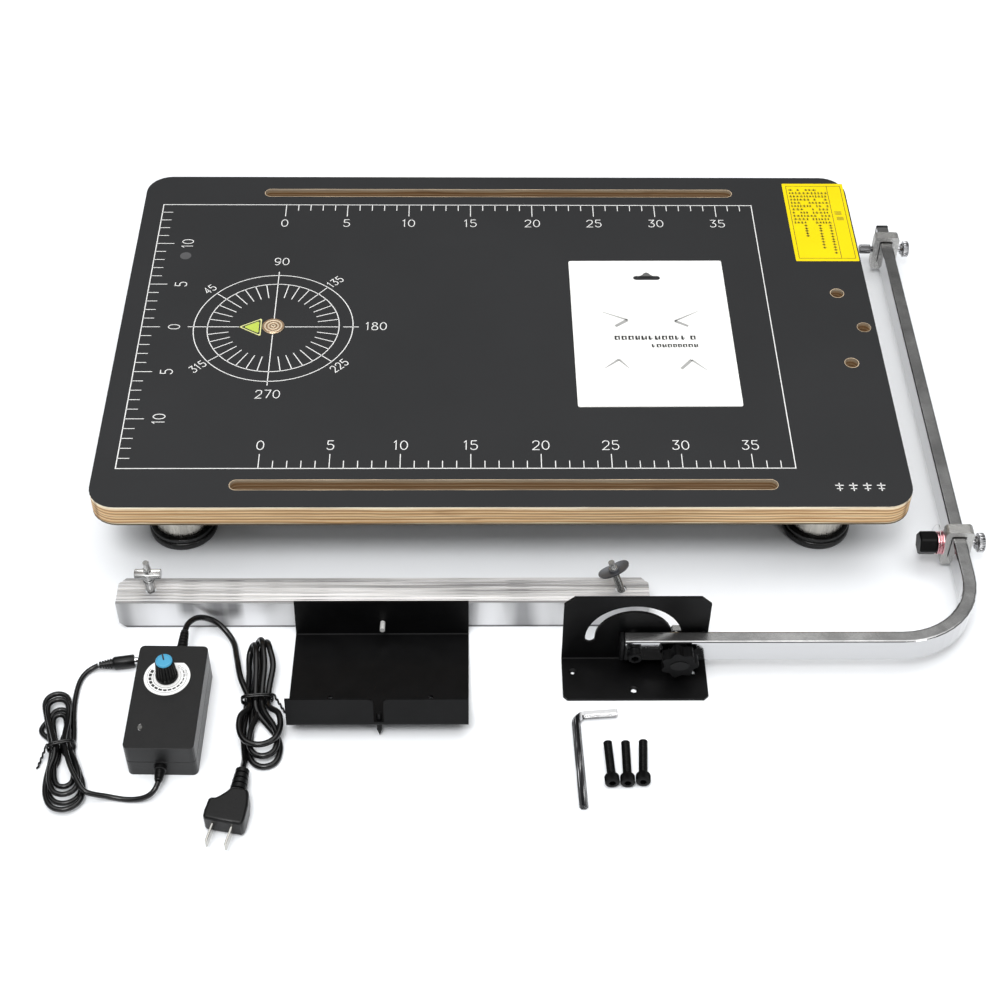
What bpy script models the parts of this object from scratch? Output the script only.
"""Bench-top hot wire cutter, taken apart and laid out as a kit.

The table stands on its four feet.  The fence, the stop plate, the arc bracket with its folded
arm, the power supply with its two cords, a hex key and three screws lie on the floor in front
of it, and a card of heating wire lies on the table.

Units are metres and +Z is up.  Every place below is measured from the wire hole in the board,
at floor level, with +X to the right and +Y to the back.  The empty kit_layout moves the whole
kit, so that the middle of its floor area is the world origin.
"""

from math import acos, atan2, ceil, cos, hypot, pi, radians, sin

import bmesh
import bpy
from mathutils import Vector

# ---------------------------------------------------------------- driving dimensions
GAP = 0.0003                    # clearance between pieces that touch
KIT_CENTRE_X = 0.20215
KIT_CENTRE_Y = -0.09805

# Table
BOARD_X = (-0.116, 0.460)
BOARD_Y = (-0.1875, 0.1875)
BOARD_THICK = 0.018
BOARD_TOP = 0.078
BOARD_CORNER = 0.020
SLOT_X = (-0.0185, 0.3653)
SLOT_Y = 0.166
SLOT_WIDTH = 0.0093
BRACKET_HOLES = ((0.4356, 0.040), (0.4507, 0.0), (0.4356, -0.040))
BRACKET_HOLE_R = 0.005
BUSH_FLANGE_R = 0.0084
BUSH_FLANGE_THICK = 0.001
BUSH_BARREL_R = 0.0058
BUSH_BORE_R = 0.0008

# Legs
LEG_X = (-0.062, 0.406)
LEG_Y = (-0.1335, 0.1335)
LEG_R = 0.0205
LEG_WALL = 0.0012
FOOT_R = 0.0248
FOOT_HEIGHT = 0.0105
FOOT_STEM_R = 0.0042
FOOT_STEM_TOP = 0.030

# Fence: an aluminium angle, grooved on its upper flange
FENCE_X = (-0.0970, 0.2750)
FENCE_FRONT = -0.230
FENCE_HEIGHT = 0.026
FENCE_DEPTH = 0.023
FENCE_THICK = 0.002
FENCE_GROOVES = 7
FENCE_GROOVE = (0.0014, 0.0005)     # width and depth
FENCE_CHAMFER = 0.005
FENCE_BOLT_X = (-0.0738, 0.2552)
FENCE_BOLT_Y = -0.217
FENCE_HOLE_R = 0.0040
FENCE_BOLT_R = 0.0028
FENCE_BOLT_LENGTH = 0.054
FENCE_BOLT_HEAD = (0.0056, 0.0040)  # corner radius and height
LEANING_BOLT = radians(-16.0)
NUT_HUB_R = 0.0043
NUT_BORE_R = 0.0031
BAR_NUT_Z = (0.0270, 0.0430)
BAR_R = 0.0033
BAR_LENGTH = 0.0175
BAR_HEIGHT = 0.0420
WING_LENGTH = 0.024
WING_WIDTH = 0.0095
WING_THICK = 0.0016
WING_ALONG_BOLT = 0.0455
WING_TURN = radians(28.0)

# Arc bracket: a folded steel angle
BRACKET_X = (0.2128, 0.3124)
BRACKET_FACE_Y = -0.2598
BRACKET_THICK = 0.002
BRACKET_BEND = 0.003
BRACKET_HEIGHT = 0.066
BRACKET_FRONT = -0.2955
BRACKET_TOP_CHAMFER = 0.0070
BRACKET_BASE_CHAMFER = 0.003
BRACKET_SCREW_SPREAD = 0.0414
BRACKET_SCREW_Y = (-0.2715, -0.2871)
BRACKET_SCREW_R = 0.0030
PIVOT_X = 0.2615
PIVOT_Z = 0.024
ARC_R = 0.0300
ARC_WIDTH = 0.0066
ARC_END = radians(3.0)              # how far the slot runs past the horizontal, each end

# Arm: one flat tube with a bend
TUBE_HEIGHT = 0.020
TUBE_WIDTH = 0.010
TUBE_CORNER = 0.0015
TUBE_WALL = 0.0012
ARM_START_X = 0.2550
ARM_Y = -0.2671
ARM_BEND_R = 0.055
ARM_SIDE_X = 0.500
ARM_END_Y = 0.1775
PLUG_CAP = 0.0032
PLUG_SPIGOT = 0.0020
PIVOT_BOLT_R = 0.0029
PIVOT_HEAD = (0.0050, 0.0060)       # radius and height
PIVOT_HOLE_R = 0.0032
STAR_R = 0.0130
STAR_LOBES = 7
STAR_LOBE_DEPTH = 0.0014
STAR_THICK = 0.0085
STAR_HUB = (0.0068, 0.0035)         # radius and length
STUD_R = 0.0029
PLATE_NUT_THICK = 0.0048
PLATE_NUT_R = 0.0058

# Clamps on the arm
CLAMP_X = (0.4902, 0.5108)
CLAMP_Z = (0.0060, 0.0390)
CLAMP_WINDOW_X = (0.4946, 0.5054)
CLAMP_WINDOW_Z = (0.0136, 0.0350)
CLAMP_CORNER = 0.0035
NEAR_CLAMP_Y = -0.1725
NEAR_CLAMP_DEPTH = 0.009
FAR_CLAMP_Y = 0.1610
FAR_CLAMP_DEPTH = 0.0080
CLAMP_BORE_R = 0.0025
CLAMP_SCREW_R = 0.0022
THUMB_X = (0.5132, 0.5203)
NEAR_THUMB_R = 0.0071
FAR_THUMB_R = 0.0067
HEX_CAP_X = (0.4727, 0.4853)
HEX_CAP_R = 0.0090
SPOOL_X = (0.4856, 0.4899)
SPOOL_R = (0.0088, 0.0076)          # rim and waist
POST_X = (0.4790, 0.4884)
POST_R = 0.00385

# Stop plate: a folded U, propped up on its pointed pin
STOP_X = (0.0273, 0.1484)
STOP_FOLD_Y = -0.2365
STOP_TILT = radians(-8.0)
STOP_BASE = 0.0900
STOP_BACK = 0.0313
STOP_LIP = 0.0250
STOP_THICK = 0.0015
STOP_BEND = 0.0025
STOP_PIN_X = 0.0888
STOP_NOTCH = 0.0066
STOP_NOTCH_ROUND = 0.004
STOP_PIN_R = 0.0018
STOP_PIN_Y = -0.0866
STOP_PIN_Z = (-0.0117, 0.0095)
STOP_PIN_POINT = 0.006
STOP_STUD_Z = 0.0125
STOP_STUD_LENGTH = 0.008
STOP_HOLE_X = (-0.034, 0.034)
STOP_HOLE_Y = -0.0640

# Wire card
CARD_SIZE = (0.121, 0.166)
CARD_AT = (0.2883, -0.0050)
CARD_TURN = radians(0.3)
CARD_THICK = 0.0006
CARD_HANG = (0.0212, 0.0052)         # width and height of the hanging slot
CARD_HANG_Y = 0.0622

# Power supply, in its own frame: +Y is its mains end
PSU_AT = (-0.0518, -0.3127)
PSU_TURN = radians(-1.1)
PSU_SIZE = (0.0462, 0.0848)
PSU_HEIGHT = 0.0295
PSU_SPLIT = 0.0142
PSU_WALL = 0.002
PSU_CORNER = 0.0035
PSU_EDGE = 0.0014
KNOB_AT = (-0.0014, 0.0154)
KNOB_BASE_R = 0.0075
KNOB_TOP_R = 0.0059
KNOB_Z = (0.0308, 0.0482)
KNOB_SHAFT_R = 0.003
DIAL_R = 0.0154
DIAL_FLAT = 0.0118
DIAL_THICK = 0.0005
POT_R = 0.0080
POT_Z = (0.0125, 0.0205)
PCB_SIZE = (0.038, 0.074)
PCB_Z = 0.0060
PCB_THICK = 0.0016
TRANSFORMER_SIZE = (0.020, 0.022, 0.014)
TRANSFORMER_Y = -0.016
LED_AT = (-0.0138, -0.0256)
LED_R = 0.0016
GLAND_X = 0.0034
GLAND_Z = 0.0200
GLAND_LENGTH = 0.0205
RELIEF_X = -0.0006
RELIEF_Z = 0.0090
RELIEF_LENGTH = 0.0112
GLAND_BORE_R = 0.0036

# Cords: routes and hanks lie on the floor
DC_CORD_R = 0.0018
DC_LEAD = [
    (-0.05344, -0.3668, 0.0090), (-0.0540, -0.3700, 0.0082), (-0.0573, -0.3739, 0.0058),
    (-0.0633, -0.3757, 0.0036), (-0.0710, -0.3757, 0.0020), (-0.0790, -0.3748, 0.0019),
    (-0.0868, -0.3737, 0.0019), (-0.0944, -0.3718, 0.0024),
]
DC_TAIL = [
    (-0.1187, -0.2869, 0.0024), (-0.1179, -0.2796, 0.0020), (-0.1157, -0.2735, 0.0021),
    (-0.1115, -0.2693, 0.0030), (-0.1066, -0.2674, 0.0044),
]
DC_HANK_TOP = (-0.1265, -0.3005)
DC_HANK_BOTTOM = (-0.1120, -0.3740)
DC_HANK_R = (0.0120, 0.0145)
DC_HANK_Z = (0.0016, 0.0125)
DC_TIE_ALONG = 0.42
CONNECTOR_AT = (-0.1062, -0.2673)
CONNECTOR_TURN = radians(9.0)
CONNECTOR_Z = 0.0046
MAINS_CORD_R = 0.0021
MAINS_LEAD = [
    (-0.0471, -0.2493, 0.0200), (-0.0464, -0.2445, 0.0197), (-0.0438, -0.2392, 0.0186),
    (-0.0398, -0.2352, 0.0168), (-0.0346, -0.2333, 0.0142), (-0.0294, -0.2338, 0.0114),
    (-0.0244, -0.2362, 0.0084), (-0.0198, -0.2403, 0.0052), (-0.0160, -0.2455, 0.0030),
    (-0.0131, -0.2512, 0.0024), (-0.0118, -0.2570, 0.0024),
]
MAINS_HANK_TOP = (0.0022, -0.2548)
MAINS_HANK_BOTTOM = (0.0102, -0.3415)
MAINS_HANK_R = (0.0112, 0.0152)
MAINS_HANK_Z = (0.0016, 0.0165)
MAINS_TIE_ALONG = 0.47
TIE_THICK = 0.0009
TIE_WIDTH = 0.0022
PLUG_RELIEF_Y = (-0.3563, -0.3790)
PLUG_RELIEF_X = 0.0006
PLUG_RELIEF_R = (0.0046, 0.0056)
PLUG_Z = 0.0080
PLUG_HEIGHT = 0.0160
PLUG_AT = (-0.0064, -0.3905)
PLUG_TURN = radians(-12.0)
PRONG_SPACING = 0.0127
PRONG_SIZE = (0.0015, 0.0165, 0.0063)

# Hex key and spare screws
KEY_ACROSS_CORNERS_R = 0.0029
KEY_SHORT_TIP = (0.2488, -0.3078)
KEY_CORNER = (0.2205, -0.3100)
KEY_LONG_TIP = (0.2231, -0.3835)
KEY_BEND_R = 0.007
SCREW_HEAD = (0.0049, 0.0060)       # radius and height
SCREW_SHANK = (0.0030, 0.0280)      # radius and length
SCREW_TIPS = ((0.2411, -0.3328), (0.2530, -0.3328), (0.2649, -0.3320))
SCREW_TURNS = (radians(2.2), radians(-0.9), radians(-3.9))
SCREW_DROOP = radians(3.4)

# How an outline's plane stands: thickness along Z, X or Y
FLAT = (0.0, 0.0, 0.0)
ALONG_X = (pi / 2, 0.0, pi / 2)
ALONG_Y = (pi / 2, 0.0, 0.0)
# How a turned piece's own axis stands
AXIS_X = (0.0, pi / 2, 0.0)
AXIS_BACK = (-pi / 2, 0.0, 0.0)
AXIS_FRONT = (pi / 2, 0.0, 0.0)


# ---------------------------------------------------------------- outlines
def arc(cx, cy, radius, start, end, steps):
    """Points of an arc from angle start to angle end, both included."""
    return [
        (cx + radius * cos(start + (end - start) * i / steps),
         cy + radius * sin(start + (end - start) * i / steps))
        for i in range(steps + 1)
    ]


def circle(cx, cy, radius, steps=16):
    return arc(cx, cy, radius, 0.0, 2.0 * pi * (1.0 - 1.0 / steps), steps - 1)


def rounded_rectangle(x, y, radius, steps=5):
    corners = ((x[1], y[1], 0.0), (x[0], y[1], 0.5), (x[0], y[0], 1.0), (x[1], y[0], 1.5))
    points = []
    for cx, cy, turn in corners:
        inner_x = cx - radius if cx == x[1] else cx + radius
        inner_y = cy - radius if cy == y[1] else cy + radius
        points += arc(inner_x, inner_y, radius, turn * pi, (turn + 0.5) * pi, steps)
    return points


def slot_outline(x, y, width, steps=8):
    """A slot with round ends that runs along X."""
    r = width / 2
    right = arc(x[1] - r, y, r, -pi / 2, pi / 2, steps)
    left = arc(x[0] + r, y, r, pi / 2, 1.5 * pi, steps)
    return right + left


def hull_outline(top, top_r, bottom, bottom_r, steps=10):
    """The outline of a hank: two round ends of unlike size and their common tangents."""
    heading = atan2(top[1] - bottom[1], top[0] - bottom[0])
    distance = hypot(top[0] - bottom[0], top[1] - bottom[1])
    side = acos((bottom_r - top_r) / distance)
    upper = arc(top[0], top[1], top_r, heading - side, heading + side, steps)
    lower = arc(bottom[0], bottom[1], bottom_r, heading + side, heading + 2 * pi - side, steps)
    return upper + lower


def star_outline(radius, depth, lobes, steps=8):
    """A knob's lobed rim."""
    total = lobes * steps
    return [
        ((radius - depth + depth * cos(lobes * 2 * pi * i / total)) * cos(2 * pi * i / total),
         (radius - depth + depth * cos(lobes * 2 * pi * i / total)) * sin(2 * pi * i / total))
        for i in range(total)
    ]


def smooth_route(points, spacing):
    """Points about spacing apart on a smooth curve through a cord's route."""
    knots = [Vector(p) for p in points]
    first = knots[0] * 2 - knots[1]
    last = knots[-1] * 2 - knots[-2]
    padded = [first] + knots + [last]
    route = []
    for a, b, c, d in zip(padded, padded[1:], padded[2:], padded[3:]):
        steps = max(1, ceil((c - b).length / spacing))
        for i in range(steps):
            t = i / steps
            route.append(0.5 * (2 * b + (c - a) * t + (2 * a - 5 * b + 4 * c - d) * t * t
                                + (3 * b - a - 3 * c + d) * t * t * t))
    route.append(knots[-1])
    return route


# ---------------------------------------------------------------- building blocks
def new_collection(name):
    made = bpy.data.collections.new(name)
    bpy.context.scene.collection.children.link(made)
    return made


def new_material(name, colour, roughness, metallic=0.0):
    made = bpy.data.materials.new(name)
    made.use_nodes = True
    shader = made.node_tree.nodes["Principled BSDF"]
    shader.inputs["Base Color"].default_value = (*colour, 1.0)
    shader.inputs["Roughness"].default_value = roughness
    shader.inputs["Metallic"].default_value = metallic
    made.diffuse_color = (*colour, 1.0)
    return made


def new_empty(name, parent, location=(0.0, 0.0, 0.0), rotation=(0.0, 0.0, 0.0)):
    made = bpy.data.objects.new(name, None)
    PARTS.objects.link(made)
    made.parent = parent
    made.location = location
    made.rotation_euler = rotation
    made.empty_display_size = 0.01
    return made


def place(obj, parent, location=(0.0, 0.0, 0.0), rotation=FLAT, finish=None):
    """Stand an object in its parent's frame: with a finish it is a part, without one a cutter."""
    home = PARTS if finish else CUTTERS
    home.objects.link(obj)
    obj.parent = parent
    obj.location = location
    obj.rotation_euler = rotation
    if finish:
        obj.data.materials.append(finish)
    else:
        obj.hide_render = True
        obj.display_type = "WIRE"
    bpy.context.view_layer.update()
    return obj


def mesh_object(name, bm):
    mesh = bpy.data.meshes.new(name)
    bm.to_mesh(mesh)
    bm.free()
    return bpy.data.objects.new(name, mesh)


def box(name, size):
    bm = bmesh.new()
    bmesh.ops.create_cube(bm, size=1.0)
    bmesh.ops.scale(bm, vec=size, verts=bm.verts)
    return mesh_object(name, bm)


def rod(name, radius, length, sides=20):
    """A cylinder, or a hexagonal bar with six sides, centred on its own Z axis."""
    bm = bmesh.new()
    bmesh.ops.create_cone(bm, cap_ends=True, segments=sides, radius1=radius, radius2=radius,
                          depth=length)
    made = mesh_object(name, bm)
    smooth(made, radians(40.0))
    return made


def turned(name, profile, steps=24, closed=False):
    """A turned piece: its profile (radius, height) runs down the outer side."""
    bm = bmesh.new()
    verts = [bm.verts.new((r, 0.0, z)) for r, z in profile]
    for a, b in zip(verts, verts[1:]):
        bm.edges.new((a, b))
    if closed:
        bm.edges.new((verts[-1], verts[0]))
    made = mesh_object(name, bm)
    screw = made.modifiers.new("turn", "SCREW")
    screw.steps = steps
    screw.render_steps = steps
    screw.use_merge_vertices = True
    screw.merge_threshold = 0.00001
    screw.use_smooth_shade = False
    return made


def plate(name, outlines, thickness):
    """A flat piece: its first outline is the rim, and the others are holes."""
    curve = bpy.data.curves.new(name, "CURVE")
    curve.dimensions = "2D"
    curve.fill_mode = "BOTH"
    curve.extrude = thickness / 2
    for outline in outlines:
        spline = curve.splines.new("POLY")
        spline.points.add(len(outline) - 1)
        for point, (x, y) in zip(spline.points, outline):
            point.co = (x, y, 0.0, 1.0)
        spline.use_cyclic_u = True
    return bpy.data.objects.new(name, curve)


def tube(name, points, radius, resolution=2):
    """A round wire or cord through the given points."""
    curve = bpy.data.curves.new(name, "CURVE")
    curve.dimensions = "3D"
    curve.bevel_depth = radius
    curve.bevel_resolution = resolution
    curve.use_fill_caps = True
    spline = curve.splines.new("POLY")
    spline.points.add(len(points) - 1)
    for point, place_at in zip(spline.points, points):
        point.co = (*place_at, 1.0)
    return bpy.data.objects.new(name, curve)


def as_mesh(obj):
    """Turn a curve object into a welded mesh object of the same name and place."""
    depsgraph = bpy.context.evaluated_depsgraph_get()
    mesh = bpy.data.meshes.new_from_object(obj.evaluated_get(depsgraph))
    bm = bmesh.new()
    bm.from_mesh(mesh)
    bmesh.ops.remove_doubles(bm, verts=bm.verts, dist=0.000005)
    bmesh.ops.recalc_face_normals(bm, faces=bm.faces)
    bm.to_mesh(mesh)
    bm.free()
    name = obj.name
    home = obj.users_collection[0]
    parent = obj.parent
    location = obj.location.copy()
    rotation = obj.rotation_euler.copy()
    hidden = obj.hide_render
    bpy.data.objects.remove(obj, do_unlink=True)
    mesh.name = name
    made = bpy.data.objects.new(name, mesh)
    home.objects.link(made)
    made.parent = parent
    made.location = location
    made.rotation_euler = rotation
    made.hide_render = hidden
    if hidden:
        made.display_type = "WIRE"
    bpy.context.view_layer.update()
    return made


def combine(part, tool, operation):
    step = part.modifiers.new(tool.name, "BOOLEAN")
    step.operation = operation
    step.solver = "EXACT"
    step.object = tool


def cut(part, *tools):
    for tool in tools:
        combine(part, tool, "DIFFERENCE")


def unite(part, *tools):
    for tool in tools:
        combine(part, tool, "UNION")


def soften(part, width, segments=2, angle=radians(40.0)):
    bevel = part.modifiers.new("round_edges", "BEVEL")
    bevel.width = width
    bevel.segments = segments
    bevel.limit_method = "ANGLE"
    bevel.angle_limit = angle


def smooth(part, angle=radians(35.0)):
    part.data.shade_smooth()
    part.data.set_sharp_from_angle(angle=angle)


# ---------------------------------------------------------------- table
def make_board(kit):
    outlines = [rounded_rectangle(BOARD_X, BOARD_Y, BOARD_CORNER, 8)]
    outlines.append(slot_outline(SLOT_X, SLOT_Y, SLOT_WIDTH))
    outlines.append(slot_outline(SLOT_X, -SLOT_Y, SLOT_WIDTH))
    outlines.append(circle(0.0, 0.0, BUSH_BARREL_R + GAP, 24))
    outlines += [circle(x, y, BRACKET_HOLE_R) for x, y in BRACKET_HOLES]
    board = plate("plywood_board", outlines, BOARD_THICK)
    place(board, kit, (0.0, 0.0, BOARD_TOP - BOARD_THICK / 2), finish=WOOD)


def make_wire_bush(kit):
    seat = BOARD_TOP + GAP
    top = seat + BUSH_FLANGE_THICK
    foot = BOARD_TOP - BOARD_THICK + GAP
    profile = [
        (BUSH_BORE_R, top), (BUSH_FLANGE_R - 0.0004, top), (BUSH_FLANGE_R, top - 0.0004),
        (BUSH_FLANGE_R, seat), (BUSH_BARREL_R, seat), (BUSH_BARREL_R, foot), (BUSH_BORE_R, foot),
    ]
    place(turned("wire_bush", profile, closed=True), kit, finish=BRASS)


def make_legs(kit):
    top = BOARD_TOP - BOARD_THICK - GAP
    bottom = FOOT_HEIGHT + GAP
    inner = LEG_R - LEG_WALL
    bore = FOOT_STEM_R + GAP
    leg_profile = [
        (0.0, top), (LEG_R, top), (LEG_R, bottom), (bore, bottom), (bore, bottom + 0.006),
        (inner, bottom + 0.006), (inner, top - 0.003), (0.0, top - 0.003),
    ]
    foot_profile = [
        (0.0, FOOT_STEM_TOP), (FOOT_STEM_R, FOOT_STEM_TOP), (FOOT_STEM_R, FOOT_HEIGHT),
        (FOOT_R - 0.0008, FOOT_HEIGHT), (FOOT_R, FOOT_HEIGHT - 0.0010), (FOOT_R, 0.0045),
        (FOOT_R - 0.0014, 0.0), (0.0, 0.0),
    ]
    for side, x in zip(("left", "right"), LEG_X):
        for end, y in zip(("front", "back"), LEG_Y):
            corner = f"{end}_{side}"
            place(turned(f"leg_tube_{corner}", leg_profile, 32), kit, (x, y, 0.0), finish=STEEL)
            place(turned(f"foot_{corner}", foot_profile, 32), kit, (x, y, 0.0), finish=BLACK)


# ---------------------------------------------------------------- fence
def fence_profile():
    """The angle's section in (Y, Z), with grooves along the top of the upper flange."""
    front = FENCE_FRONT
    back = FENCE_FRONT + FENCE_DEPTH
    top = FENCE_HEIGHT
    width, depth = FENCE_GROOVE
    points = [(front, 0.0), (front + FENCE_THICK, 0.0)]
    points += [(front + FENCE_THICK, top - FENCE_THICK), (back, top - FENCE_THICK), (back, top)]
    pitch = FENCE_DEPTH / (FENCE_GROOVES + 1)
    for i in range(FENCE_GROOVES):
        y = back - pitch * (i + 1)
        points += [(y + width / 2, top), (y + width / 4, top - depth)]
        points += [(y - width / 4, top - depth), (y - width / 2, top)]
    points += arc(front + 0.001, top - 0.001, 0.001, pi / 2, pi, 3)
    return points


def make_fence(kit):
    length = FENCE_X[1] - FENCE_X[0]
    middle = (FENCE_X[0] + FENCE_X[1]) / 2
    rail = plate("fence_rail", [fence_profile()], length)
    place(rail, kit, (middle, 0.0, 0.0), ALONG_X, ALUMINIUM)
    rail = as_mesh(rail)
    side = FENCE_CHAMFER * 2 ** 0.5
    for name, x in zip(("left", "right"), FENCE_X):
        high = place(box(f"cut_fence_top_{name}", (side, side, 0.02)), kit,
                     (x, FENCE_FRONT + FENCE_DEPTH, FENCE_HEIGHT), (0.0, 0.0, pi / 4))
        low = place(box(f"cut_fence_foot_{name}", (side, 0.02, side)), kit,
                    (x, FENCE_FRONT, 0.0), (0.0, pi / 4, 0.0))
        cut(rail, high, low)
    for name, x in zip(("left", "right"), FENCE_BOLT_X):
        drill = place(rod(f"cut_fence_hole_{name}", FENCE_HOLE_R, 0.02), kit,
                      (x, FENCE_BOLT_Y, FENCE_HEIGHT))
        cut(rail, drill)


def fence_bolt(name, stand):
    """A hexagon-head bolt that stands on its head, from its own empty's origin."""
    radius, height = FENCE_BOLT_HEAD
    shank = rod(name, FENCE_BOLT_R, FENCE_BOLT_LENGTH - height / 2, 16)
    place(shank, stand, (0.0, 0.0, (FENCE_BOLT_LENGTH + height / 2) / 2), finish=STEEL)
    head = place(rod(f"join_{name}_head", radius, height, 6), stand, (0.0, 0.0, height / 2))
    unite(shank, head)


def make_fence_bolts(kit):
    left = new_empty("left_bolt_stand", kit, (FENCE_BOLT_X[0], FENCE_BOLT_Y, 0.0))
    fence_bolt("fence_bolt_left", left)
    hub_length = BAR_NUT_Z[1] - BAR_NUT_Z[0]
    nut = rod("bar_nut", NUT_HUB_R, hub_length)
    place(nut, left, (0.0, 0.0, sum(BAR_NUT_Z) / 2), finish=STEEL)
    bar = place(rod("join_bar_nut_bar", BAR_R, BAR_LENGTH, 16), left, (0.0, 0.0, BAR_HEIGHT), AXIS_X)
    bore = place(rod("cut_bar_nut_bore", NUT_BORE_R, 0.04, 16), left, (0.0, 0.0, BAR_HEIGHT))
    unite(nut, bar)
    cut(nut, bore)

    hole_height = FENCE_HEIGHT - FENCE_THICK / 2
    lean = -LEANING_BOLT
    head_rise = FENCE_BOLT_HEAD[0] * sin(lean) + GAP
    foot_x = FENCE_BOLT_X[1] + (hole_height - head_rise) * sin(lean) / cos(lean)
    right = new_empty("right_bolt_stand", kit, (foot_x, FENCE_BOLT_Y, head_rise),
                      (0.0, LEANING_BOLT, 0.0))
    fence_bolt("fence_bolt_right", right)
    lens_r = (WING_LENGTH ** 2 + WING_WIDTH ** 2) / (4 * WING_WIDTH)
    half = acos((lens_r - WING_WIDTH / 2) / lens_r)
    offset = lens_r - WING_WIDTH / 2
    leaf = arc(0.0, -offset, lens_r, pi / 2 - half, pi / 2 + half, 10)[:-1]
    leaf += arc(0.0, offset, lens_r, 1.5 * pi - half, 1.5 * pi + half, 10)[:-1]
    wings = plate("wing_nut", [leaf], WING_THICK)
    place(wings, right, (0.0, 0.0, WING_ALONG_BOLT), (0.0, 0.0, WING_TURN), STEEL)
    wings = as_mesh(wings)
    hub = place(rod("join_wing_nut_hub", NUT_HUB_R, 0.006), right,
                (0.0, 0.0, WING_ALONG_BOLT - 0.0016))
    bore = place(rod("cut_wing_nut_bore", NUT_BORE_R, 0.03, 16), right,
                 (0.0, 0.0, WING_ALONG_BOLT))
    unite(wings, hub)
    cut(wings, bore)


# ---------------------------------------------------------------- arc bracket and arm
def make_bracket(kit):
    face = BRACKET_FACE_Y
    back = face + BRACKET_THICK
    bend_y = back - BRACKET_BEND
    inner = BRACKET_BEND - BRACKET_THICK
    profile = [(BRACKET_FRONT, 0.0)]
    profile += arc(bend_y, BRACKET_BEND, BRACKET_BEND, -pi / 2, 0.0, 5)
    profile += [(back, BRACKET_HEIGHT), (face, BRACKET_HEIGHT)]
    profile += arc(bend_y, BRACKET_BEND, inner, 0.0, -pi / 2, 5)
    profile += [(BRACKET_FRONT, BRACKET_THICK)]
    middle = (BRACKET_X[0] + BRACKET_X[1]) / 2
    bracket = plate("arc_bracket", [profile], BRACKET_X[1] - BRACKET_X[0])
    place(bracket, kit, (middle, 0.0, 0.0), ALONG_X, BLACK)
    bracket = as_mesh(bracket)

    slot = arc(PIVOT_X, PIVOT_Z, ARC_R + ARC_WIDTH / 2, -ARC_END, pi + ARC_END, 26)
    left_end = (PIVOT_X + ARC_R * cos(pi + ARC_END), PIVOT_Z + ARC_R * sin(pi + ARC_END))
    slot += arc(*left_end, ARC_WIDTH / 2, pi + ARC_END, 2 * pi + ARC_END, 6)[1:-1]
    slot += arc(PIVOT_X, PIVOT_Z, ARC_R - ARC_WIDTH / 2, pi + ARC_END, -ARC_END, 22)
    right_end = (PIVOT_X + ARC_R * cos(-ARC_END), PIVOT_Z + ARC_R * sin(-ARC_END))
    slot += arc(*right_end, ARC_WIDTH / 2, pi - ARC_END, 2 * pi - ARC_END, 6)[1:-1]
    opening = plate("cut_arc_slot", [slot], 0.02)
    place(opening, kit, (0.0, face, 0.0), ALONG_Y)
    cut(bracket, as_mesh(opening))
    drill = place(rod("cut_pivot_hole", PIVOT_HOLE_R, 0.02), kit, (PIVOT_X, face, PIVOT_Z), AXIS_BACK)
    cut(bracket, drill)

    holes = [(PIVOT_X - BRACKET_SCREW_SPREAD, BRACKET_SCREW_Y[0]), (PIVOT_X, BRACKET_SCREW_Y[1]),
             (PIVOT_X + BRACKET_SCREW_SPREAD, BRACKET_SCREW_Y[0])]
    for i, (x, y) in enumerate(holes):
        drill = place(rod(f"cut_bracket_screw_{i + 1}", BRACKET_SCREW_R, 0.01, 16), kit, (x, y, 0.0))
        cut(bracket, drill)
    top_side = BRACKET_TOP_CHAMFER * 2 ** 0.5
    base_side = BRACKET_BASE_CHAMFER * 2 ** 0.5
    for name, x in zip(("left", "right"), BRACKET_X):
        high = place(box(f"cut_bracket_top_{name}", (top_side, 0.02, top_side)), kit,
                     (x, face, BRACKET_HEIGHT), (0.0, pi / 4, 0.0))
        low = place(box(f"cut_bracket_base_{name}", (base_side, base_side, 0.02)), kit,
                    (x, BRACKET_FRONT, 0.0), (0.0, 0.0, pi / 4))
        cut(bracket, high, low)


def tube_section(inset=0.0):
    """The flat tube's outline as (across, up) points round its centre."""
    across = TUBE_WIDTH / 2 - inset
    up = TUBE_HEIGHT / 2 - inset
    return rounded_rectangle((-across, across), (-up, up), TUBE_CORNER, 3)


def make_arm_tube(pivot):
    """Sweep the section along the first leg, round the bend and along the second leg."""
    bend_x = ARM_SIDE_X - ARM_BEND_R
    bend_y = ARM_Y + ARM_BEND_R
    section = tube_section()
    stations = [(ARM_START_X, ARM_Y, 0.0)]
    bend_steps = 12
    for i in range(bend_steps + 1):
        angle = pi / 2 * i / bend_steps
        stations.append((bend_x + ARM_BEND_R * sin(angle), bend_y - ARM_BEND_R * cos(angle), angle))
    stations.append((ARM_SIDE_X, ARM_END_Y, pi / 2))
    bm = bmesh.new()
    rings = []
    for x, y, heading in stations:
        ring = []
        for across, up in section:
            at = (x - across * sin(heading) - PIVOT_X, y + across * cos(heading), up)
            ring.append(bm.verts.new(at))
        rings.append(ring)
    count = len(section)
    for near, far in zip(rings, rings[1:]):
        for i in range(count):
            j = (i + 1) % count
            bm.faces.new((near[i], near[j], far[j], far[i]))
    bmesh.ops.recalc_face_normals(bm, faces=bm.faces)
    tube_object = mesh_object("arm_tube", bm)
    smooth(tube_object)
    place(tube_object, pivot, finish=CHROME)
    shell = tube_object.modifiers.new("wall", "SOLIDIFY")
    shell.thickness = TUBE_WALL
    shell.offset = -1.0
    for name, x in (("pivot", 0.0), ("stud", ARC_R)):
        drill = place(rod(f"cut_arm_{name}_hole", PIVOT_HOLE_R, 0.03), pivot, (x, ARM_Y, 0.0), AXIS_BACK)
        cut(tube_object, drill)


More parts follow.
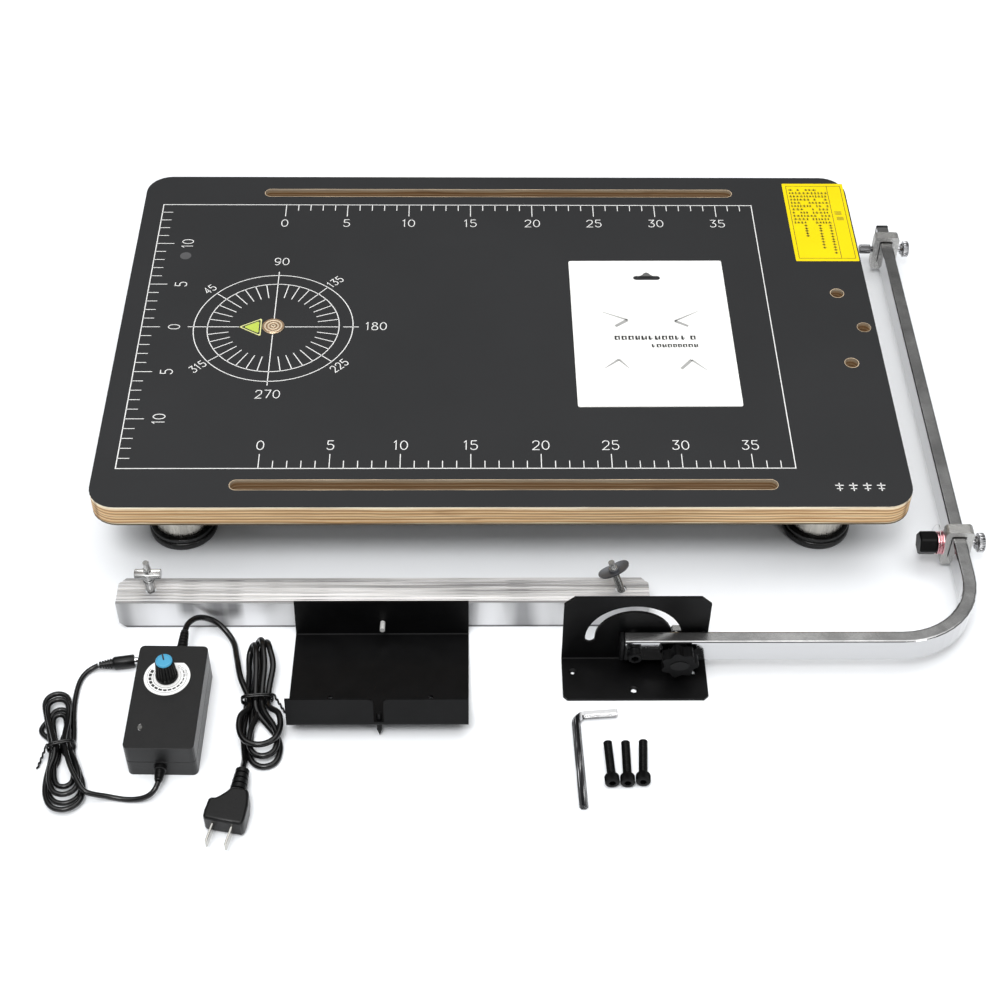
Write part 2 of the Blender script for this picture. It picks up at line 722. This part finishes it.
def make_arm_plugs(pivot):
    cap_size = (PLUG_CAP, TUBE_WIDTH, TUBE_HEIGHT)
    inner = 2 * (TUBE_WALL + GAP)
    spigot_size = (PLUG_SPIGOT * 2, TUBE_WIDTH - inner, TUBE_HEIGHT - inner)
    ends = (("inner", (ARM_START_X - PIVOT_X, ARM_Y, 0.0), pi),
            ("tip", (ARM_SIDE_X - PIVOT_X, ARM_END_Y, 0.0), pi / 2))
    for name, at, turn in ends:
        stand = new_empty(f"arm_{name}_end", pivot, at, (0.0, 0.0, turn))
        cap = box(f"arm_{name}_plug", cap_size)
        place(cap, stand, (PLUG_CAP / 2 + GAP, 0.0, 0.0), finish=BLACK)
        soften(cap, 0.0008, 1)
        spigot = place(box(f"join_arm_{name}_spigot", spigot_size), stand, (GAP * 2, 0.0, 0.0))
        unite(cap, spigot)


def make_pivot(kit):
    """The bolt the arm turns on, held by a nut behind the bracket's plate."""
    head_r, head = PIVOT_HEAD
    front = ARM_Y - TUBE_WIDTH / 2 - GAP
    nut_y = BRACKET_FACE_Y + BRACKET_THICK + GAP
    back = nut_y + PLATE_NUT_THICK - GAP
    socket = 0.003
    profile = [
        (0.0, front - back), (0.0, 0.0), (PIVOT_BOLT_R, 0.0), (PIVOT_BOLT_R, front - back),
        (head_r, front - back), (head_r, front - back - head + 0.0006),
        (head_r - 0.0006, front - back - head), (0.0, front - back - head),
    ][1:]
    bolt = turned("pivot_bolt", profile, 24)
    place(bolt, kit, (PIVOT_X, back, PIVOT_Z), AXIS_BACK, BLACK)
    hollow = place(rod("cut_pivot_socket", 0.0028, 2 * socket, 6), kit,
                   (PIVOT_X, front - head, PIVOT_Z), AXIS_BACK)
    cut(bolt, hollow)
    washer_back = BRACKET_FACE_Y - GAP
    washer_front = ARM_Y + TUBE_WIDTH / 2 + GAP
    washer = washer_ring("pivot_washer", PIVOT_HOLE_R, 0.0062, washer_back - washer_front, 24)
    place(washer, kit, (PIVOT_X, washer_back, PIVOT_Z), AXIS_BACK, STEEL)
    nut = plate_nut("pivot_nut", PIVOT_BOLT_R + GAP)
    place(nut, kit, (PIVOT_X, nut_y + PLATE_NUT_THICK / 2, PIVOT_Z), ALONG_Y, STEEL)


def washer_ring(name, inner, outer, thickness, steps):
    """A ring that lies from its origin down its own Z axis."""
    profile = [(inner, 0.0), (outer, 0.0), (outer, -thickness), (inner, -thickness)]
    return turned(name, profile, steps, closed=True)


def plate_nut(name, bore):
    rim = circle(0.0, 0.0, PLATE_NUT_R, 6)
    return plate(name, [rim, circle(0.0, 0.0, bore, 16)], PLATE_NUT_THICK)


def make_star_knob(pivot):
    """The arm's locking knob: its stud runs through the arm and the arc slot to a nut."""
    hub_r, hub = STAR_HUB
    hub_back = ARM_Y - TUBE_WIDTH / 2 - GAP
    disc_back = hub_back - hub
    knob = plate("star_knob", [star_outline(STAR_R, STAR_LOBE_DEPTH, STAR_LOBES)], STAR_THICK)
    place(knob, pivot, (ARC_R, disc_back - STAR_THICK / 2, 0.0), ALONG_Y, BLACK)
    knob = as_mesh(knob)
    neck = place(rod("join_star_knob_hub", hub_r, hub + 0.004), pivot,
                 (ARC_R, hub_back - (hub + 0.004) / 2, 0.0), AXIS_BACK)
    unite(knob, neck)
    nut_y = BRACKET_FACE_Y + BRACKET_THICK + GAP
    start = hub_back + GAP
    end = nut_y + PLATE_NUT_THICK - GAP
    stud = rod("clamp_stud", STUD_R, end - start, 16)
    place(stud, pivot, (ARC_R, (start + end) / 2, 0.0), AXIS_BACK, STEEL)
    nut = plate_nut("clamp_nut", STUD_R + GAP)
    place(nut, pivot, (ARC_R, nut_y + PLATE_NUT_THICK / 2, 0.0), ALONG_Y, STEEL)


# ---------------------------------------------------------------- clamps on the arm
def make_clamp(pivot, name, y, depth, thumb_r):
    """A cast collar round the arm, with a thumb screw that bears on the tube."""
    rim = rounded_rectangle(CLAMP_X, CLAMP_Z, CLAMP_CORNER, 4)
    window = rounded_rectangle(CLAMP_WINDOW_X, CLAMP_WINDOW_Z, 0.001, 2)
    body = plate(f"{name}_clamp", [rim, window], depth)
    place(body, pivot, (-PIVOT_X, y, -PIVOT_Z), ALONG_Y, CHROME)
    body = as_mesh(body)
    bore = place(rod(f"cut_{name}_clamp_bore", CLAMP_BORE_R, 0.04, 16), pivot,
                 (ARM_SIDE_X - PIVOT_X, y, 0.0), AXIS_X)
    cut(body, bore)

    head = THUMB_X[1] - THUMB_X[0]
    inside = ARM_SIDE_X + TUBE_WIDTH / 2 + GAP
    profile = [
        (0.0, head - 0.0012), (thumb_r * 0.55, head - 0.0012), (thumb_r * 0.62, head),
        (thumb_r - 0.0008, head), (thumb_r, head - 0.0008), (thumb_r, 0.0022),
        (thumb_r * 0.6, 0.0), (CLAMP_SCREW_R, 0.0), (CLAMP_SCREW_R, inside - THUMB_X[0]),
        (0.0, inside - THUMB_X[0]),
    ]
    screw = turned(f"{name}_thumb_screw", profile, 24)
    place(screw, pivot, (THUMB_X[0] - PIVOT_X, y, 0.0), AXIS_X, CHROME)


def make_near_fittings(pivot):
    """The hexagon cap with its axle, and the spool of wound heating wire."""
    y = NEAR_CLAMP_Y
    inside = ARM_SIDE_X - TUBE_WIDTH / 2 - GAP
    cap_length = HEX_CAP_X[1] - HEX_CAP_X[0]
    cap = rod("spool_cap", HEX_CAP_R, cap_length, 6)
    place(cap, pivot, (sum(HEX_CAP_X) / 2 - PIVOT_X, y, 0.0), AXIS_X, BLACK)
    axle_start = HEX_CAP_X[1] - 0.004
    axle = place(rod("join_spool_axle", CLAMP_SCREW_R, inside - axle_start, 16), pivot,
                 ((axle_start + inside) / 2 - PIVOT_X, y, 0.0), AXIS_X)
    soften(cap, 0.0010, 1, radians(35.0))
    unite(cap, axle)
    length = SPOOL_X[1] - SPOOL_X[0]
    rim, waist = SPOOL_R
    bore = CLAMP_SCREW_R + GAP
    profile = [
        (bore, length), (rim, length), (rim, length - 0.0008), (waist, length - 0.0016),
        (waist, 0.0012), (rim - 0.0004, 0.0006), (rim - 0.0004, 0.0), (bore, 0.0),
    ]
    spool = turned("wire_spool", profile, 24, closed=True)
    place(spool, pivot, (SPOOL_X[0] - PIVOT_X, y, 0.0), AXIS_X, COPPER)


def make_far_fittings(pivot):
    """The knurled post that the heating wire is tied to."""
    inside = ARM_SIDE_X - TUBE_WIDTH / 2 - GAP - POST_X[0]
    length = POST_X[1] - POST_X[0]
    profile = [
        (0.0, inside), (CLAMP_SCREW_R, inside), (CLAMP_SCREW_R, length), (POST_R - 0.0006, length),
        (POST_R, length - 0.0006), (POST_R, 0.0006), (POST_R - 0.0006, 0.0), (0.0, 0.0),
    ]
    post = turned("wire_post", profile, 20)
    place(post, pivot, (POST_X[0] - PIVOT_X, FAR_CLAMP_Y, 0.0), AXIS_X, CHROME)


# ---------------------------------------------------------------- stop plate
def make_stop_plate(kit):
    """A folded U in its own frame: its fold is the origin and its base runs to -Y."""
    stand = new_empty("stop_plate_stand", kit, (STOP_PIN_X, STOP_FOLD_Y, 0.0), (STOP_TILT, 0.0, 0.0))
    t = STOP_THICK
    bend = STOP_BEND
    front = -STOP_BASE
    profile = arc(-bend, bend, bend, -pi / 2, 0.0, 4)
    profile += [(0.0, STOP_BACK), (-t, STOP_BACK)]
    profile += arc(-bend, bend, bend - t, 0.0, -pi / 2, 4)
    profile += arc(front + bend, bend, bend - t, -pi / 2, -pi, 4)
    profile += [(front + t, STOP_LIP), (front, STOP_LIP)]
    profile += arc(front + bend, bend, bend, pi, 1.5 * pi, 4)
    width = STOP_X[1] - STOP_X[0]
    middle = (STOP_X[0] + STOP_X[1]) / 2 - STOP_PIN_X
    folded = plate("stop_plate", [profile], width)
    place(folded, stand, (middle, 0.0, 0.0), ALONG_X, BLACK)
    folded = as_mesh(folded)

    half = STOP_NOTCH / 2
    round_r = STOP_NOTCH_ROUND
    top = STOP_LIP
    notch = [(-half, 0.004)]
    notch += arc(-half - round_r, top - round_r, round_r, 0.0, pi / 2, 4)
    notch += [(-half - round_r, top + 0.004), (half + round_r, top + 0.004)]
    notch += arc(half + round_r, top - round_r, round_r, pi / 2, pi, 4)
    notch += [(half, 0.004)]
    opening = plate("cut_stop_notch", [notch], 0.006)
    place(opening, stand, (0.0, front, 0.0), ALONG_Y)
    cut(folded, as_mesh(opening))
    drill = place(rod("cut_stop_pin_hole", STOP_PIN_R + GAP, 0.008, 16), stand, (0.0, STOP_PIN_Y, 0.0))
    cut(folded, drill)
    for i, x in enumerate(STOP_HOLE_X):
        drill = place(rod(f"cut_stop_hole_{i + 1}", 0.0016, 0.01, 12), stand,
                      (x, STOP_HOLE_Y, 0.0))
        cut(folded, drill)

    low, high = STOP_PIN_Z
    pin_profile = [
        (0.0, high), (STOP_PIN_R - 0.0004, high), (STOP_PIN_R, high - 0.0004),
        (STOP_PIN_R, low + STOP_PIN_POINT), (0.0, low),
    ]
    place(turned("stop_plate_pin", pin_profile, 16), stand, (0.0, STOP_PIN_Y, 0.0), finish=BLACK)
    stud = rod("stop_plate_stud", STOP_PIN_R, STOP_STUD_LENGTH, 16)
    place(stud, stand, (-0.0004, -t - GAP - STOP_STUD_LENGTH / 2, STOP_STUD_Z), AXIS_BACK, STEEL)


# ---------------------------------------------------------------- wire card
def make_wire_card(kit):
    half_x = CARD_SIZE[0] / 2
    half_y = CARD_SIZE[1] / 2
    rim = rounded_rectangle((-half_x, half_x), (-half_y, half_y), 0.0015, 2)
    width, height = CARD_HANG
    hang = slot_outline((-width / 2, width / 2), CARD_HANG_Y, height, 6)
    card = plate("wire_card", [rim, hang], CARD_THICK)
    at = (*CARD_AT, BOARD_TOP + GAP + CARD_THICK / 2)
    place(card, kit, at, (0.0, 0.0, CARD_TURN), WHITE)


# ---------------------------------------------------------------- power supply
def psu_shell(name, stand, low, high, open_side):
    """One half of the casing: a rounded box, hollow from its open side."""
    half_x = PSU_SIZE[0] / 2
    half_y = PSU_SIZE[1] / 2
    rim = rounded_rectangle((-half_x, half_x), (-half_y, half_y), PSU_CORNER, 4)
    shell = plate(name, [rim], high - low)
    place(shell, stand, (0.0, 0.0, (low + high) / 2), finish=BLACK)
    shell = as_mesh(shell)
    wall = PSU_WALL
    inside = rounded_rectangle((-half_x + wall, half_x - wall), (-half_y + wall, half_y - wall),
                               PSU_CORNER - wall / 2, 3)
    depth = high - low
    hollow = plate(f"cut_{name}_inside", [inside], depth)
    shift = wall if open_side == "top" else -wall
    place(hollow, stand, (0.0, 0.0, (low + high) / 2 + shift))
    hollow = as_mesh(hollow)
    return shell, hollow


def make_psu_case(stand):
    base, base_hollow = psu_shell("psu_base", stand, 0.0, PSU_SPLIT, "top")
    cover, cover_hollow = psu_shell("psu_cover", stand, PSU_SPLIT + GAP, PSU_HEIGHT, "bottom")
    for shell, hollow in ((base, base_hollow), (cover, cover_hollow)):
        soften(shell, PSU_EDGE, 2, radians(60.0))
        cut(shell, hollow)
    half_y = PSU_SIZE[1] / 2
    gland = place(rod("cut_gland_hole", GLAND_BORE_R + GAP, 0.012), stand,
                  (GLAND_X, half_y, GLAND_Z), AXIS_BACK)
    relief = place(rod("cut_relief_hole", GLAND_BORE_R + GAP, 0.012), stand,
                   (RELIEF_X, -half_y, RELIEF_Z), AXIS_BACK)
    shaft = place(rod("cut_shaft_hole", KNOB_SHAFT_R + GAP, 0.012), stand, (*KNOB_AT, PSU_HEIGHT))
    lens = place(rod("cut_led_hole", LED_R + GAP, 0.012, 12), stand, (*LED_AT, PSU_HEIGHT))
    cut(cover, gland, shaft, lens)
    cut(base, relief)


def make_psu_controls(stand):
    """The dial plate, the knob with its shaft, and the potentiometer under them."""
    corner = acos(DIAL_FLAT / DIAL_R)
    rim = arc(0.0, 0.0, DIAL_R, pi / 2 + corner, 2.5 * pi - corner, 40)
    dial = plate("psu_dial", [rim, circle(0.0, 0.0, KNOB_SHAFT_R + GAP, 20)], DIAL_THICK)
    dial_low = PSU_HEIGHT + GAP
    place(dial, stand, (*KNOB_AT, dial_low + DIAL_THICK / 2), finish=WHITE)
    low, high = KNOB_Z
    knob_profile = [
        (0.0, high), (KNOB_TOP_R - 0.0006, high), (KNOB_TOP_R, high - 0.0006),
        (KNOB_TOP_R + 0.0002, high - 0.006), (KNOB_BASE_R - 0.0003, low + 0.004),
        (KNOB_BASE_R, low + 0.0005), (KNOB_BASE_R - 0.0005, low), (KNOB_SHAFT_R, low),
        (KNOB_SHAFT_R, POT_Z[0]), (0.0, POT_Z[0]),
    ]
    place(turned("psu_knob", knob_profile, 24), stand, (*KNOB_AT, 0.0), finish=BLACK)
    bore = KNOB_SHAFT_R + GAP
    bottom, top = POT_Z
    pot_profile = [(bore, top), (POT_R, top), (POT_R, bottom), (bore, bottom)]
    place(turned("potentiometer", pot_profile, 24, closed=True), stand, (*KNOB_AT, 0.0),
          finish=STEEL)


def make_psu_inside(stand):
    board = box("psu_circuit_board", (*PCB_SIZE, PCB_THICK))
    place(board, stand, (0.0, 0.0, PCB_Z + PCB_THICK / 2), finish=GREEN)
    core_low = PCB_Z + PCB_THICK / 2
    core = place(box("join_psu_transformer", TRANSFORMER_SIZE), stand,
                 (0.0, TRANSFORMER_Y, core_low + TRANSFORMER_SIZE[2] / 2))
    unite(board, core)
    lens = rod("psu_led", LED_R, 0.004, 12)
    place(lens, stand, (*LED_AT, PSU_HEIGHT - 0.0018), finish=BLACK)


def make_psu_glands(stand):
    """The tapered mains gland at the back and the low-voltage relief at the front."""
    half_y = PSU_SIZE[1] / 2
    neck = GLAND_BORE_R
    gland_profile = [
        (0.0, GLAND_LENGTH), (0.0028, GLAND_LENGTH), (0.0036, 0.0075), (0.0049, 0.0068),
        (0.0052, 0.0060), (0.0052, GAP), (neck, GAP), (neck, -PSU_WALL - 0.0008), (0.0, -PSU_WALL - 0.0008),
    ]
    gland = turned("mains_gland", gland_profile, 20)
    place(gland, stand, (GLAND_X, half_y, GLAND_Z), AXIS_BACK, BLACK)
    relief_profile = [
        (0.0, RELIEF_LENGTH), (0.0026, RELIEF_LENGTH), (0.0040, 0.0012), (0.0042, GAP),
        (neck, GAP), (neck, -PSU_WALL - 0.0008), (0.0, -PSU_WALL - 0.0008),
    ]
    relief = turned("dc_relief", relief_profile, 20)
    place(relief, stand, (RELIEF_X, -half_y, RELIEF_Z), AXIS_FRONT, BLACK)


# ---------------------------------------------------------------- cords
def make_hank(kit, name, top, bottom, radii, heights):
    """One closed solid of the outer shape of a folded cord."""
    outline = hull_outline(top, radii[0], bottom, radii[1])
    hank = plate(f"{name}_cord_hank", [outline], heights[1] - heights[0])
    place(hank, kit, (0.0, 0.0, (heights[0] + heights[1]) / 2), finish=BLACK)


def make_tie(kit, name, top, bottom, radii, heights, along):
    """A band round a hank, across its length."""
    heading = atan2(bottom[1] - top[1], bottom[0] - top[0])
    x = top[0] + (bottom[0] - top[0]) * along
    y = top[1] + (bottom[1] - top[1]) * along
    half = radii[0] + (radii[1] - radii[0]) * along + 0.0010
    z = (heights[0] - GAP, heights[1] + GAP)
    inner = rounded_rectangle((-half, half), z, 0.001, 2)
    outer = rounded_rectangle((-half - TIE_THICK, half + TIE_THICK),
                              (z[0] - TIE_THICK, z[1] + TIE_THICK), 0.0018, 3)
    band = plate(f"{name}_cord_tie", [outer, inner], TIE_WIDTH)
    place(band, kit, (x, y, 0.0), (pi / 2, 0.0, heading + pi / 2), finish=BLACK)


def make_dc_cord(kit):
    spacing = 5 * DC_CORD_R
    place(tube("dc_cord_lead", smooth_route(DC_LEAD, spacing), DC_CORD_R), kit, finish=BLACK)
    place(tube("dc_cord_tail", smooth_route(DC_TAIL, spacing), DC_CORD_R), kit, finish=BLACK)
    hank = (DC_HANK_TOP, DC_HANK_BOTTOM, DC_HANK_R, DC_HANK_Z)
    make_hank(kit, "dc", *hank)
    make_tie(kit, "dc", *hank, DC_TIE_ALONG)
    stand = new_empty("connector_stand", kit, (*CONNECTOR_AT, CONNECTOR_Z), (0.0, 0.0, CONNECTOR_TURN))
    profile = [
        (0.0, 0.0270), (0.0023, 0.0270), (0.0023, 0.0245), (0.0042, 0.0245), (0.0045, 0.0235),
        (0.0045, 0.0105), (0.0038, 0.0090), (0.0030, 0.0075), (0.0026, GAP), (0.0, GAP),
    ]
    place(turned("dc_connector", profile, 20), stand, (0.0, 0.0, 0.0), AXIS_X, BLACK)


def make_mains_cord(kit):
    lead = tube("mains_cord_lead", smooth_route(MAINS_LEAD, 5 * MAINS_CORD_R), MAINS_CORD_R)
    place(lead, kit, finish=BLACK)
    hank = (MAINS_HANK_TOP, MAINS_HANK_BOTTOM, MAINS_HANK_R, MAINS_HANK_Z)
    make_hank(kit, "mains", *hank)
    make_tie(kit, "mains", *hank, MAINS_TIE_ALONG)


def make_mains_plug(kit):
    """A flat two-blade plug: its body, its ribbed relief and its blades."""
    stand = new_empty("plug_stand", kit, (*PLUG_AT, PLUG_Z), (0.0, 0.0, PLUG_TURN))
    rim = [(-0.0135, 0.0020)] + arc(-0.0095, 0.0058, 0.0040, pi, pi / 2, 3)
    rim += [(-0.0030, 0.0100), (0.0008, 0.0140), (0.0110, 0.0140), (0.0140, 0.0040)]
    rim += arc(0.0105, -0.0070, 0.0035, 0.0, -pi / 2, 3)
    rim += arc(-0.0105, -0.0075, 0.0030, -pi / 2, -pi, 3)
    body = plate("mains_plug", [rim], PLUG_HEIGHT)
    place(body, stand, finish=BLACK)
    body = as_mesh(body)
    soften(body, 0.0016, 2, radians(60.0))
    start, end = PLUG_RELIEF_Y
    near_r, far_r = PLUG_RELIEF_R
    length = start - end
    profile = [(0.0, length), (near_r, length), (far_r, 0.0), (far_r, -0.006), (0.0, -0.006)]
    relief = place(turned("join_plug_relief", profile, 16), kit, (PLUG_RELIEF_X, end, PLUG_Z), AXIS_BACK)
    unite(body, relief)
    width, blade_length, height = PRONG_SIZE
    front = -0.0105 - GAP
    for side, x in (("left", -PRONG_SPACING / 2), ("right", PRONG_SPACING / 2)):
        blade = box(f"plug_blade_{side}", (width, blade_length, height))
        place(blade, stand, (x, front - blade_length / 2, 0.0005), finish=BRASS)


# ---------------------------------------------------------------- hex key and screws
def make_hex_key(kit):
    """A bent hexagonal bar: two straight legs and the round bend between them."""
    z = KEY_ACROSS_CORNERS_R
    corner = Vector(KEY_CORNER)
    short = (Vector(KEY_SHORT_TIP) - corner).normalized()
    long = (Vector(KEY_LONG_TIP) - corner).normalized()
    opening = short.angle(long)
    reach = KEY_BEND_R / math_tan_half(opening)
    centre = corner + (short + long).normalized() * KEY_BEND_R / sin(opening / 2)
    begin = corner + short * reach - centre
    sweep = pi - opening
    route = [KEY_SHORT_TIP]
    steps = 6
    for i in range(steps + 1):
        angle = atan2(begin.y, begin.x) + sweep * i / steps
        route.append((centre.x + KEY_BEND_R * cos(angle), centre.y + KEY_BEND_R * sin(angle)))
    route.append(KEY_LONG_TIP)
    key = tube("hex_key", [(x, y, z) for x, y in route], KEY_ACROSS_CORNERS_R, 1)
    place(key, kit, finish=CHROME)


def math_tan_half(angle):
    return sin(angle / 2) / cos(angle / 2)


def make_screws(kit):
    """Socket-head screws that lie on the floor, heads to the front."""
    head_r, head = SCREW_HEAD
    shank_r, shank = SCREW_SHANK
    total = head + shank
    profile = [
        (0.0, total), (shank_r - 0.0006, total), (shank_r, total - 0.0006), (shank_r, head),
        (head_r, head), (head_r, 0.0006), (head_r - 0.0006, 0.0), (0.0, 0.0),
    ]
    for i, (tip, turn) in enumerate(zip(SCREW_TIPS, SCREW_TURNS)):
        x = tip[0] + total * sin(turn)
        y = tip[1] - total * cos(turn)
        stand = new_empty(f"screw_stand_{i + 1}", kit, (x, y, head_r + 2 * GAP), (0.0, 0.0, turn))
        tilt = (-pi / 2 - SCREW_DROOP, 0.0, 0.0)
        screw = turned(f"cap_screw_{i + 1}", profile, 20)
        place(screw, stand, (0.0, 0.0, 0.0), tilt, BLACK)
        hollow = place(rod(f"cut_screw_socket_{i + 1}", 0.0028, 0.006, 6), stand,
                       (0.0, 0.0, 0.0), tilt)
        cut(screw, hollow)


# ---------------------------------------------------------------- the kit
def make_kit():
    kit = new_empty("kit_layout", None, (-KIT_CENTRE_X, -KIT_CENTRE_Y, 0.0))
    make_board(kit)
    make_wire_bush(kit)
    make_legs(kit)
    make_fence(kit)
    make_fence_bolts(kit)
    make_bracket(kit)
    make_pivot(kit)
    pivot = new_empty("arm_pivot", kit, (PIVOT_X, 0.0, PIVOT_Z))
    make_arm_tube(pivot)
    make_arm_plugs(pivot)
    make_star_knob(pivot)
    make_clamp(pivot, "near", NEAR_CLAMP_Y, NEAR_CLAMP_DEPTH, NEAR_THUMB_R)
    make_clamp(pivot, "far", FAR_CLAMP_Y, FAR_CLAMP_DEPTH, FAR_THUMB_R)
    make_near_fittings(pivot)
    make_far_fittings(pivot)
    make_stop_plate(kit)
    make_wire_card(kit)
    psu = new_empty("psu_stand", kit, (*PSU_AT, 0.0), (0.0, 0.0, PSU_TURN))
    make_psu_case(psu)
    make_psu_controls(psu)
    make_psu_inside(psu)
    make_psu_glands(psu)
    make_dc_cord(kit)
    make_mains_cord(kit)
    make_mains_plug(kit)
    make_hex_key(kit)
    make_screws(kit)


for old in list(bpy.data.objects):
    bpy.data.objects.remove(old, do_unlink=True)
PARTS = new_collection("hot_wire_cutter")
CUTTERS = new_collection("hot_wire_cutter_cutters")
WOOD = new_material("plywood", (0.72, 0.50, 0.28), 0.55)
BLACK = new_material("black", (0.015, 0.015, 0.016), 0.45)
STEEL = new_material("zinc_steel", (0.60, 0.60, 0.58), 0.35, 1.0)
CHROME = new_material("chrome", (0.75, 0.75, 0.76), 0.12, 1.0)
ALUMINIUM = new_material("aluminium", (0.82, 0.82, 0.83), 0.30, 1.0)
BRASS = new_material("brass", (0.72, 0.52, 0.30), 0.35, 1.0)
COPPER = new_material("copper_wire", (0.80, 0.42, 0.45), 0.30, 1.0)
WHITE = new_material("white_card", (0.90, 0.90, 0.90), 0.50)
GREEN = new_material("circuit_board", (0.05, 0.25, 0.10), 0.50)
make_kit()
